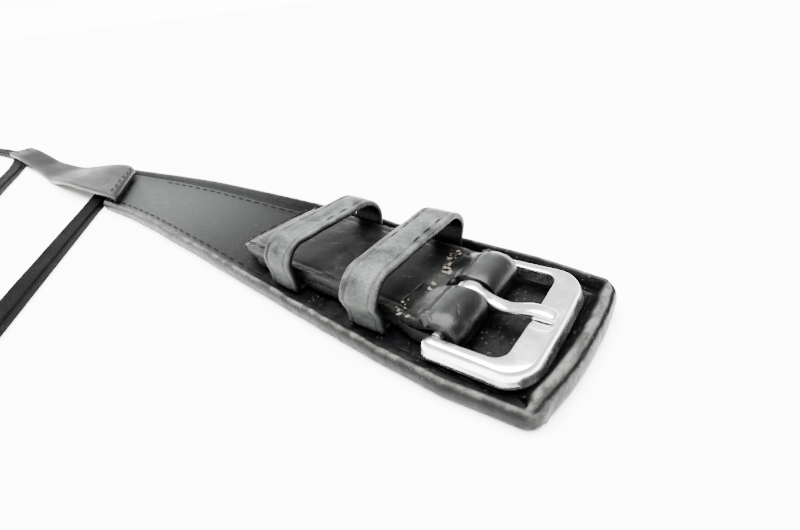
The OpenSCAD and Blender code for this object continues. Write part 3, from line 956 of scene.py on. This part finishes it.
    def wall(self, bm, s, top):
        """Gives the leather its thickness about its middle line, thicker round the bar."""
        bmesh.ops.recalc_face_normals(bm, faces=bm.faces)
        centres = ((face, face.calc_center_median()) for face in bm.faces)
        outer = next(face for face, at in centres if at.x < -20 and at.z > top - 0.3)
        if outer.normal.z < 0:
            bmesh.ops.reverse_faces(bm, faces=bm.faces)
        bm.normal_update()
        first = bm.verts[:]
        shell = bmesh.ops.duplicate(bm, geom=bm.verts[:] + bm.edges[:] + bm.faces[:])
        pairs = {vert: shell["vert_map"][vert] for vert in first}
        bm.normal_update()
        for group, sign in ((first, 1), (pairs.values(), -1)):
            for vert in group:
                half = mix(s.layer_thickness, s.turn_thickness, smooth((vert.co.x + 5.5) / 4.0)) / 2
                half *= mix(0.62, 1.0, smooth((vert.co.x - CHAPE_LOW.x - 2) / 7))
                vert.co = vert.co + vert.normal * half * sign
        copied = [part for part in shell["geom"] if isinstance(part, bmesh.types.BMFace)]
        bmesh.ops.reverse_faces(bm, faces=copied)
        rims = [e for e in bm.edges if e.is_boundary and e.verts[0] in pairs and e.verts[1] in pairs]
        for edge in rims:
            a, b = edge.verts
            bm.faces.new((a, b, pairs[b], pairs[a]))
        bmesh.ops.recalc_face_normals(bm, faces=bm.faces)


class STRAP_OT_keepers(bpy.types.Operator):
    """Bend the two keeper bands round the chape"""

    bl_idname = "strap.keepers"
    bl_label = "Keepers"

    def execute(self, context):
        self.keeper("front_keeper", "strap", sizes().front_keeper_turn, 1.0, 1.0)
        self.keeper("rear_keeper", "sliding_keeper", 0.0, 5.0, 0.4)
        return {"FINISHED"}

    width = 6.4
    column_step = 0.3

    def keeper(self, node, body, turn, seed, bulge):
        """One band, bent to the frame's own keeper and swelling outwards above by the bulge."""
        low, high = box_mm(node)
        middle = (low + high) / 2
        width = self.width
        half_y = (high.y - low.y) / 2
        if turn:
            half_y = (half_y - width / 2 * math.sin(turn)) / math.cos(turn)
        thick = sizes().keeper_thickness
        loop = self.band_loop(half_y, low.z, high.z)
        sample, total = along(loop, closed=True)
        # across the band: place along its width, depth below the outer face, and wear
        flat = width / 2
        section = [
            (-flat + 0.04, 0.75, 0.0), (-flat, 0.42, 0.1), (-flat + 0.1, 0.14, 0.6), (-flat + 0.34, 0.0, 1.0),
            (-flat + 0.8, -0.03, 0.95), (-flat + 1.12, 0.1, 0.55), (-flat + 1.4, -0.01, 1.0),
            (-1.1, -0.05, 0.9), (0.0, -0.06, 0.85), (1.1, -0.05, 0.9),
            (flat - 1.4, -0.01, 1.0), (flat - 1.12, 0.1, 0.55),
            (flat - 0.8, -0.03, 0.95), (flat - 0.34, 0.0, 1.0), (flat - 0.1, 0.14, 0.6), (flat, 0.42, 0.1),
            (flat - 0.04, 0.75, 0.0), (flat - 0.2, thick, 0.0), (flat - 1.0, thick, 0.0), (0.0, thick, 0.0),
            (-flat + 1.0, thick, 0.0), (-flat + 0.2, thick, 0.0),
        ]

        def place(u, v):
            at, ahead = sample(u)
            out = Vector((0, -ahead.z, ahead.y))
            if out.dot(at - Vector((0, 0, middle.z))) < 0:
                out = -out
            along_x, depth, worn = round_section(section, v)
            spot = Vector((along_x, at.y, at.z)) + Vector((seed * 31, 0, 0))
            high_side = smooth((at.z - low.z - 1.6) / 2)
            depth += rough(spot, 3.4, seed) * 0.09 * high_side + rough(spot, 0.9, seed) * 0.025
            along_x += rough((at.y, at.z, seed), 4.0) * 0.12 + rough((at.y, at.z, along_x), 0.8, 3.0) * 0.04
            point = Vector((along_x, 0, 0)) + at - out * depth
            point.y *= 1 + bulge / half_y * smooth((point.z - 4.2) / 3.5)
            point.z = max(point.z, low.z)
            turned = Matrix.Rotation(turn, 3, "Z") @ point
            # painted shade: the keeper's colour is darkened down its sides and left light over its top
            worn *= mix(0.4, 1.0, smooth((point.z - high.z + 4) / 3.6))
            return turned + Vector((middle.x, middle.y, 0)), clamped(worn)

        bm = bent_grid(round(total / self.column_step), len(section) * 2, place)
        bmesh.ops.recalc_face_normals(bm, faces=bm.faces)
        finish_piece(bm, node + "_band", body, keeper_leather(), [node])

    def band_loop(self, half_y, z0, z1):
        """The band's outer line round the chape: round shoulders above, tighter bends below."""
        top_r, foot_r, points = 4.2, 1.3, []
        corners = (
            (half_y - top_r, z1 - top_r, top_r, 0), (-half_y + top_r, z1 - top_r, top_r, 90),
            (-half_y + foot_r, z0 + foot_r, foot_r, 180), (half_y - foot_r, z0 + foot_r, foot_r, 270),
        )
        for y, z, r, start in corners:
            for k in range(13):
                a = math.radians(start + 90 * k / 12)
                points.append(Vector((0, y + r * math.cos(a), z + r * math.sin(a))))
        return points


# how far across and how far up the corners of a flat strap's rounded section lie
STRAP_SECTION = (
    (0.0, 0.28), (0.0, 0.72), (0.03, 0.93), (0.1, 1.0), (0.5, 0.97), (0.9, 1.0), (0.97, 0.93), (1.0, 0.72),
    (1.0, 0.28), (0.97, 0.05), (0.9, 0.0), (0.5, 0.0), (0.1, 0.0), (0.03, 0.05),
)


class STRAP_OT_tail(bpy.types.Operator):
    """Lay the tail strap over the base's end and down to the table"""

    bl_idname = "strap.tail"
    bl_label = "Tail strap"

    thickness = 1.75
    far_overlap = 10.6
    eased_over = 9

    def execute(self, context):
        under, near, far = self.run_of_frame()
        low, high = box_mm("tail_strap")
        slant_far = BASE_X0 + self.far_overlap

        def place(u, v):
            side, up = (clamped(value) for value in round_section(STRAP_SECTION, v))
            x_near, x_far = mix(low.x + 0.05, high.x - 0.1, u), mix(low.x + 0.05, slant_far, u)
            a, b = Vector((x_near, near(x_near), 0)), Vector((x_far, far(x_far), 0))
            at = a.lerp(b, side)
            start = 1 - u
            z = under(at.x) + self.thickness * up * mix(0.75, 1.0, smooth(start * 60))
            z += rough((at.x, at.y, 0), 11, 4.0) * 0.12 * up
            edge = bell(min(side, 1 - side), 0.05, 0.05)
            worn = smooth(up * 2 - 1) * 0.8 * edge * smooth(start * 30)
            return Vector((at.x, at.y, max(0.0, z))), worn

        bm = close_up(bent_grid(190, len(STRAP_SECTION) * 3, place))
        finish_piece(bm, "tail_leather", "strap", tail_leather(), ["tail_strap"])
        return {"FINISHED"}

    def run_of_frame(self):
        """Underside height, near edge and far edge along the frame's tail strap."""
        bm = merged("tail_strap")
        bmesh.ops.triangulate(bm, faces=bm.faces)
        tree = BVHTree.FromBMesh(bm)
        bm.free()
        low, high = box_mm("tail_strap")
        under, near, far = [], [], []
        steps = round(high.x - low.x)
        for k in range(steps):
            x = low.x + 0.3 + k * (high.x - low.x - 0.6) / (steps - 1)
            y = -6.4 * smooth((-80 - x) / 85) if x < -125 else BASE_NEAR(x) + 2.5
            bottom = tree.ray_cast(Vector((x, y, -1)), Vector((0, 0, 1)))[0]
            if not bottom:
                continue
            level = bottom.z + 0.9
            one = tree.ray_cast(Vector((x, -40, level)), Vector((0, 1, 0)))[0]
            other = tree.ray_cast(Vector((x, 40, level)), Vector((0, -1, 0)))[0]
            under.append((x, bottom.z))
            near.append((x, one.y))
            far.append((x, other.y))
        return tuple(Line(self.eased(pairs, self.eased_over)) for pairs in (under, near, far))

    def eased(self, pairs, reach):
        """The same run with its steps eased over a few stations each way."""
        values = [p[1] for p in pairs]
        eased = []
        for k, (x, _) in enumerate(pairs):
            span = min(reach, k, len(values) - 1 - k)
            eased.append((x, sum(values[k - span : k + span + 1]) / (2 * span + 1)))
        return eased


class STRAP_OT_tie(bpy.types.Operator):
    """Lay out the narrow tie strap along the route the frame gives it"""

    bl_idname = "strap.tie"
    bl_label = "Tie strap"

    column_step = 0.9
    sharp_corner = math.radians(60)

    def execute(self, context):
        loop = underside_loop("tie_strap")
        low, high = box_mm("tie_strap")
        first, second = self.ends(loop)
        line = loop[first[1] :] + loop[: first[1]]
        split = (second[0] - first[1]) % len(loop)
        left, right = line[: split + 1], line[split + 1 :]
        right.reverse()
        edge_a, _ = along(left)
        edge_b, total = along(right)
        thick = high.z - low.z

        def place(u, v):
            a, _ = edge_a(u)
            b, _ = edge_b(u)
            side, up = round_section(STRAP_SECTION, v)
            at = a.lerp(b, clamped(side))
            z = low.z + thick * clamped(up)
            z += rough((at.x, at.y, 0), 7.0, 2.0) * 0.06 * up
            worn = smooth(up * 2 - 1) * bell(min(side, 1 - side), 0.08, 0.08)
            return Vector((at.x, at.y, max(0.0, z))), worn

        bm = close_up(bent_grid(round(total / self.column_step), len(STRAP_SECTION) * 2, place))
        finish_piece(bm, "tie_leather", "strap", tie_leather(), ["tie_strap"])
        return {"FINISHED"}

    def ends(self, loop):
        """The two short edges that close the outline's ends, as pairs of places in it."""
        count, sharp = len(loop), []
        for i in range(count):
            a = loop[i] - loop[i - 1]
            b = loop[(i + 1) % count] - loop[i]
            if a.angle(b) > self.sharp_corner:
                sharp.append(i)
        pairs = [(i, (i + 1) % count) for i in sharp if (i + 1) % count in sharp]
        if len(pairs) != 2:
            raise RuntimeError("the tie strap's outline doesn't have two ends")
        return pairs


class STRAP_OT_buckle(bpy.types.Operator):
    """Form the bevelled buckle frame with its two rail ends"""

    bl_idname = "strap.buckle"
    bl_label = "Buckle frame"

    inner_half, window = 10.0, 9.2
    outer_half, front = 12.3, 13.7
    inner_corner = 2.0
    inner_bow, outer_bow = 0.15, 0.45
    underside, half_height = -1.85, 1.3
    rail_back = -1.4

    def rail_line(self, half, front, radius, bow):
        """One edge of the frame from above, from the near rail's end round to the far one's."""
        near = [Vector((mix(self.rail_back, front - radius, (k / 20) ** 1.7), -half, 0)) for k in range(20)]
        for k in range(15):
            a = math.radians(-90 + 90 * k / 14)
            x, y = front - radius + radius * math.cos(a), -half + radius + radius * math.sin(a)
            near.append(Vector((x, y, 0)))
        flat = half - radius
        middle = [Vector((front, mix(-flat, flat, k / 20), 0)) for k in range(1, 20)]
        line = near + middle + [Vector((p.x, -p.y, 0)) for p in reversed(near)]
        for p in line:
            reach = smooth((p.x - front + radius + 1) / (radius + 1))
            p.x -= bow * reach * (p.y / half) ** 2
        return line

    def execute(self, context):
        inner = self.rail_line(self.inner_half, self.window, self.inner_corner, self.inner_bow)
        outer = self.rail_line(self.outer_half, self.front, sizes().frame_corner, self.outer_bow)
        # which edge a corner of the section is measured from, how far in, and its height
        section = [
            (0, 0.12, 0.1), (0, 0.0, 0.35), (0, 0.0, 2.1), (0, 0.1, 2.34), (0, 0.35, 2.4),
            (1, 1.15, 2.4), (1, 0.95, 2.33), (1, 0.76, 2.16), (1, 0.58, 1.9), (1, 0.44, 1.62),
            (1, 0.34, 1.36), (1, 0.3, 1.22), (1, 0.22, 0.85), (1, 0.06, 0.38), (1, 0.1, 0.1),
            (1, 0.32, 0.0), (0, 0.35, 0.0),
        ]
        count, last = len(section), len(inner) - 1

        def place(u, v):
            slot = u * last
            i = min(last - 1, int(slot))
            a, b = inner[i].lerp(inner[i + 1], slot - i), outer[i].lerp(outer[i + 1], slot - i)
            wide = (b - a).length
            across = (b - a) / wide
            spot = v * count
            j, t = int(spot) % count, spot - int(spot)
            edge, inset, height = section[j]
            next_edge, next_inset, next_height = section[(j + 1) % count]
            first = inset if edge == 0 else wide - inset
            second = next_inset if next_edge == 0 else wide - next_inset
            reach = mix(first, second, t)
            height = mix(height, next_height, t)
            end = min(a.x, b.x)
            close = math.sqrt(max(0.0, 1 - max(0.0, (-0.3 - end) / 1.1) ** 2))
            reach = wide / 2 + (reach - wide / 2) * mix(0.3, 1.0, close)
            height = self.half_height + (height - self.half_height) * mix(0.55, 1.0, close)
            point = a + across * reach
            return on_bar(point.x, point.y, self.underside + height), 0.0

        bm = close_up(bent_grid(last * 2, count * 2, place))
        finish_piece(bm, "buckle_metal", "buckle", buckle_steel(), ["buckle_frame"])
        return {"FINISHED"}


class STRAP_OT_prong(bpy.types.Operator):
    """Bend the prong from its eye on the bar to its cut tip on the front bar"""

    bl_idname = "strap.prong"
    bl_label = "Prong"

    eye = 1.72
    eye_half_thickness, eye_half_width = 0.8, 1.22
    lean = 0.45
    # the first station past the eye, from which the top is dented
    shank_start = 17

    def execute(self, context):
        eye = self.eye
        # middle line, half thickness and half width at each station, in the bar's frame
        stations = []
        for k in range(19):
            a = math.radians(-35 - 225 * k / 18)
            back = bell(math.degrees(a), -222, 38)
            x, z = (eye + 0.26 * back) * math.cos(a), (eye + 0.12 * back) * math.sin(a)
            stations.append((x, z, self.eye_half_thickness, self.eye_half_width))
        stations += [
            (0.6, 1.78, 0.8, 1.1), (1.7, 1.3, 0.8, 0.92), (2.7, 0.66, 0.82, 0.98), (3.9, 0.22, 0.84, 1.12),
            (5.4, 0.1, 0.84, 1.2), (7.0, 0.46, 0.8, 1.22), (8.6, 1.06, 0.76, 1.22), (9.9, 1.34, 0.72, 1.2),
            (11.0, 1.34, 0.68, 1.16), (11.8, 1.24, 0.58, 1.06), (12.25, 1.12, 0.36, 0.88),
        ]
        last = len(stations) - 1

        def place(u, v):
            slot = u * last
            x, z, thick, wide = on_stations(stations, slot)
            ahead_x, ahead_z, _, _ = on_stations(stations, min(last, slot + 0.3))
            ahead = Vector((ahead_x - x, 0, ahead_z - z))
            ahead = ahead.normalized() if ahead.length > 1e-6 else Vector((1, 0, -0.2)).normalized()
            up = Vector((-ahead.z, 0, ahead.x))
            a = 2 * math.pi * v
            c, s = math.cos(a), math.sin(a)
            y = wide * math.copysign(abs(c) ** 0.62, c)
            h = thick * math.copysign(abs(s) ** 0.7, s)
            if slot >= self.shank_start:
                dent = 0.22 * bell(x, 1.5, 1.0) * smooth(s) * bell(y, 0.5, 0.6)
                dent += 0.1 * bell(x, 3.1, 0.5) * smooth(s) * bell(y, -0.4, 0.5)
                h -= dent
            point = Vector((x, y - self.lean * smooth(x / 12), z)) + up * h
            return on_bar(point.x, point.y, point.z), 0.0

        bm = close_up(bent_grid(last * 7, 40, place))
        finish_piece(bm, "prong_metal", "prong", buckle_steel(), ["prong"])
        return {"FINISHED"}


class STRAP_OT_stitches(bpy.types.Operator):
    """Sew every seam with short rounds of waxed thread"""

    bl_idname = "strap.stitches"
    bl_label = "Stitches"

    seams = (
        ("base_stitches", "strap"), ("chape_edge_stitches", "strap"), ("chape_tip_stitches", "strap"),
        ("fold_stitches", "strap"), ("front_keeper_stitches", "strap"),
        ("rear_keeper_stitches", "sliding_keeper"), ("junction_stitches", "strap"), ("end_stitches", "strap"),
    )
    # the share of the frame's stitch that the thread fills, where it is under one
    slimness = {"front_keeper_stitches": 0.4, "rear_keeper_stitches": 0.4, "base_stitches": 0.6}
    tip_forward = 1.5

    def execute(self, context):
        for node, body in self.seams:
            chance = random.Random(node)
            bm = bmesh.new()
            slim = self.slimness.get(node, 1.0)
            for middle, sides in islands(node):
                if node == "chape_tip_stitches":
                    middle.x += self.tip_forward
                self.thread(bm, middle, sides, chance, slim)
            finish_piece(bm, node + "_thread", body, waxed_thread(), [node])
        return {"FINISHED"}

    def thread(self, bm, middle, sides, chance, slim):
        """One stitch: a plump round of thread that dips at both ends."""
        run = sides[-1]
        across = sides[1]
        lift = run.cross(across).normalized()
        if lift.z < 0:
            lift = -lift
        direction = run.normalized()
        side = lift.cross(direction)
        length, width, height = run.length, across.length, sides[0].length
        turn = chance.uniform(-0.07, 0.07)
        made = bmesh.ops.create_uvsphere(bm, u_segments=10, v_segments=7, radius=0.5)
        for vert in made["verts"]:
            c = vert.co
            t = c.z * 2
            x = c.z * length * 1.04
            y = c.x * width * slim + turn * x
            z = c.y * height * 1.3 * slim - 0.3 * height * t * t
            vert.co = middle + direction * x + side * y + lift * (z + 0.02)


class STRAP_OT_crumbs(bpy.types.Operator):
    """Scatter the dried fibre that has gathered behind the fold and in the slot"""

    bl_idname = "strap.crumbs"
    bl_label = "Crumbs and fibres"

    # where the bits gather, from the bar's middle, and how far they spread
    homes = (
        (-6.9, 7.6, 0.9, 1.2), (-5.6, 2.6, 0.6, 0.8), (-5.3, -1.8, 0.5, 0.9), (-6.8, -7.6, 0.8, 1.5),
        (-3.2, -8.8, 1.4, 0.5), (-6.2, 4.8, 0.5, 1.2),
    )
    chape_top = 1.35
    smallest, spread = 0.06, 0.3

    def execute(self, context):
        chance = random.Random(11)
        top = BAR_AT.z + self.chape_top
        bm = bmesh.new()
        for k in range(sizes().crumb_count):
            x, y, spread_x, spread_y = chance.choice(self.homes)
            spot = Vector((chance.gauss(x, spread_x * 0.6), chance.gauss(y, spread_y * 0.7), 0))
            size = self.smallest + self.spread * chance.random() ** 3
            z = top + 0.02 + 0.1 * smooth((spot.x + 6) / 2)
            made = bmesh.ops.create_icosphere(bm, subdivisions=2, radius=size)
            stretch = Vector((chance.uniform(0.5, 2.2), chance.uniform(0.5, 2.2), chance.uniform(0.3, 0.7)))
            turn = Matrix.Rotation(chance.uniform(0, math.pi), 3, "Z")
            for vert in made["verts"]:
                c = vert.co * (1 + 0.6 * rough(vert.co / size + Vector((k, 0, 0)), 0.7))
                c = turn @ Vector((c.x * stretch.x, c.y * stretch.y, c.z * stretch.z))
                vert.co = on_bar(spot.x + c.x, spot.y + c.y, z - BAR_AT.z + c.z)
        finish_piece(bm, "dried_crumbs", "strap", dried_fibre())
        return {"FINISHED"}


class STRAP_OT_hidden_parts(bpy.types.Operator):
    """Finish the lining, the core and the spring bar, which keep the frame's own shapes"""

    bl_idname = "strap.hidden_parts"
    bl_label = "Lining, core and bar"

    inset = 0.9
    back_gap, front_gap = 1.6, 1.0
    lining_top, lining_sheet = 0.72, 0.6

    def execute(self, context):
        self.lining()
        finishes = {"base_core": core_board}
        for node in ("bar_tube", "near_plunger", "far_plunger", "bar_spring"):
            finishes[node] = bar_steel
        for node, finish in finishes.items():
            data = NODES[node].data
            data.materials.clear()
            data.materials.append(finish())
        return {"FINISHED"}

    def lining(self):
        """The lining, tucked just inside the rolled rim, with its nap."""

        def place(u, v):
            x = mix(BASE_X0 + self.back_gap, BASE_X1 - self.front_gap, u)
            near, far = BASE_NEAR(x) + self.inset, BASE_FAR(x) - self.inset
            y = mix(min(near, far), max(near, far), v)
            return Vector((x, y, self.lining_top + 0.03 * rough((x, y, 0), 1.2))), 0.0

        bm = thicken(bent_grid(240, 44, place), self.lining_sheet)
        finish_piece(bm, "lining_leather", "strap", flesh_side(), ["base_lining"])


class STRAP_PT_panel(bpy.types.Panel):
    """Lists the strap's building steps and its sizes"""

    bl_idname = "STRAP_PT_panel"
    bl_label = "Buckled strap"
    bl_space_type = "VIEW_3D"
    bl_region_type = "UI"
    bl_category = "Strap"

    def draw(self, context):
        for step in STEPS:
            self.layout.operator(step.bl_idname)
        for group in (context.scene.strap_sizes, context.scene.strap_colours):
            for key in group.__annotations__:
                self.layout.prop(group, key)


STEPS = (
    STRAP_OT_stage, STRAP_OT_hidden_parts, STRAP_OT_cover, STRAP_OT_rim, STRAP_OT_chape, STRAP_OT_keepers,
    STRAP_OT_tail, STRAP_OT_tie, STRAP_OT_buckle, STRAP_OT_prong, STRAP_OT_stitches, STRAP_OT_crumbs,
)
CLASSES = (StrapSizes, StrapColours, *STEPS, STRAP_PT_panel)


def register():
    for cls in CLASSES:
        bpy.utils.register_class(cls)
    bpy.types.Scene.strap_sizes = PointerProperty(type=StrapSizes)
    bpy.types.Scene.strap_colours = PointerProperty(type=StrapColours)


def unregister():
    del bpy.types.Scene.strap_colours
    del bpy.types.Scene.strap_sizes
    for cls in reversed(CLASSES):
        bpy.utils.unregister_class(cls)


def main():
    register()
    for step in STEPS:
        group, name = step.bl_idname.split(".")
        getattr(getattr(bpy.ops, group), name)()


if __name__ == "__main__":
    main()
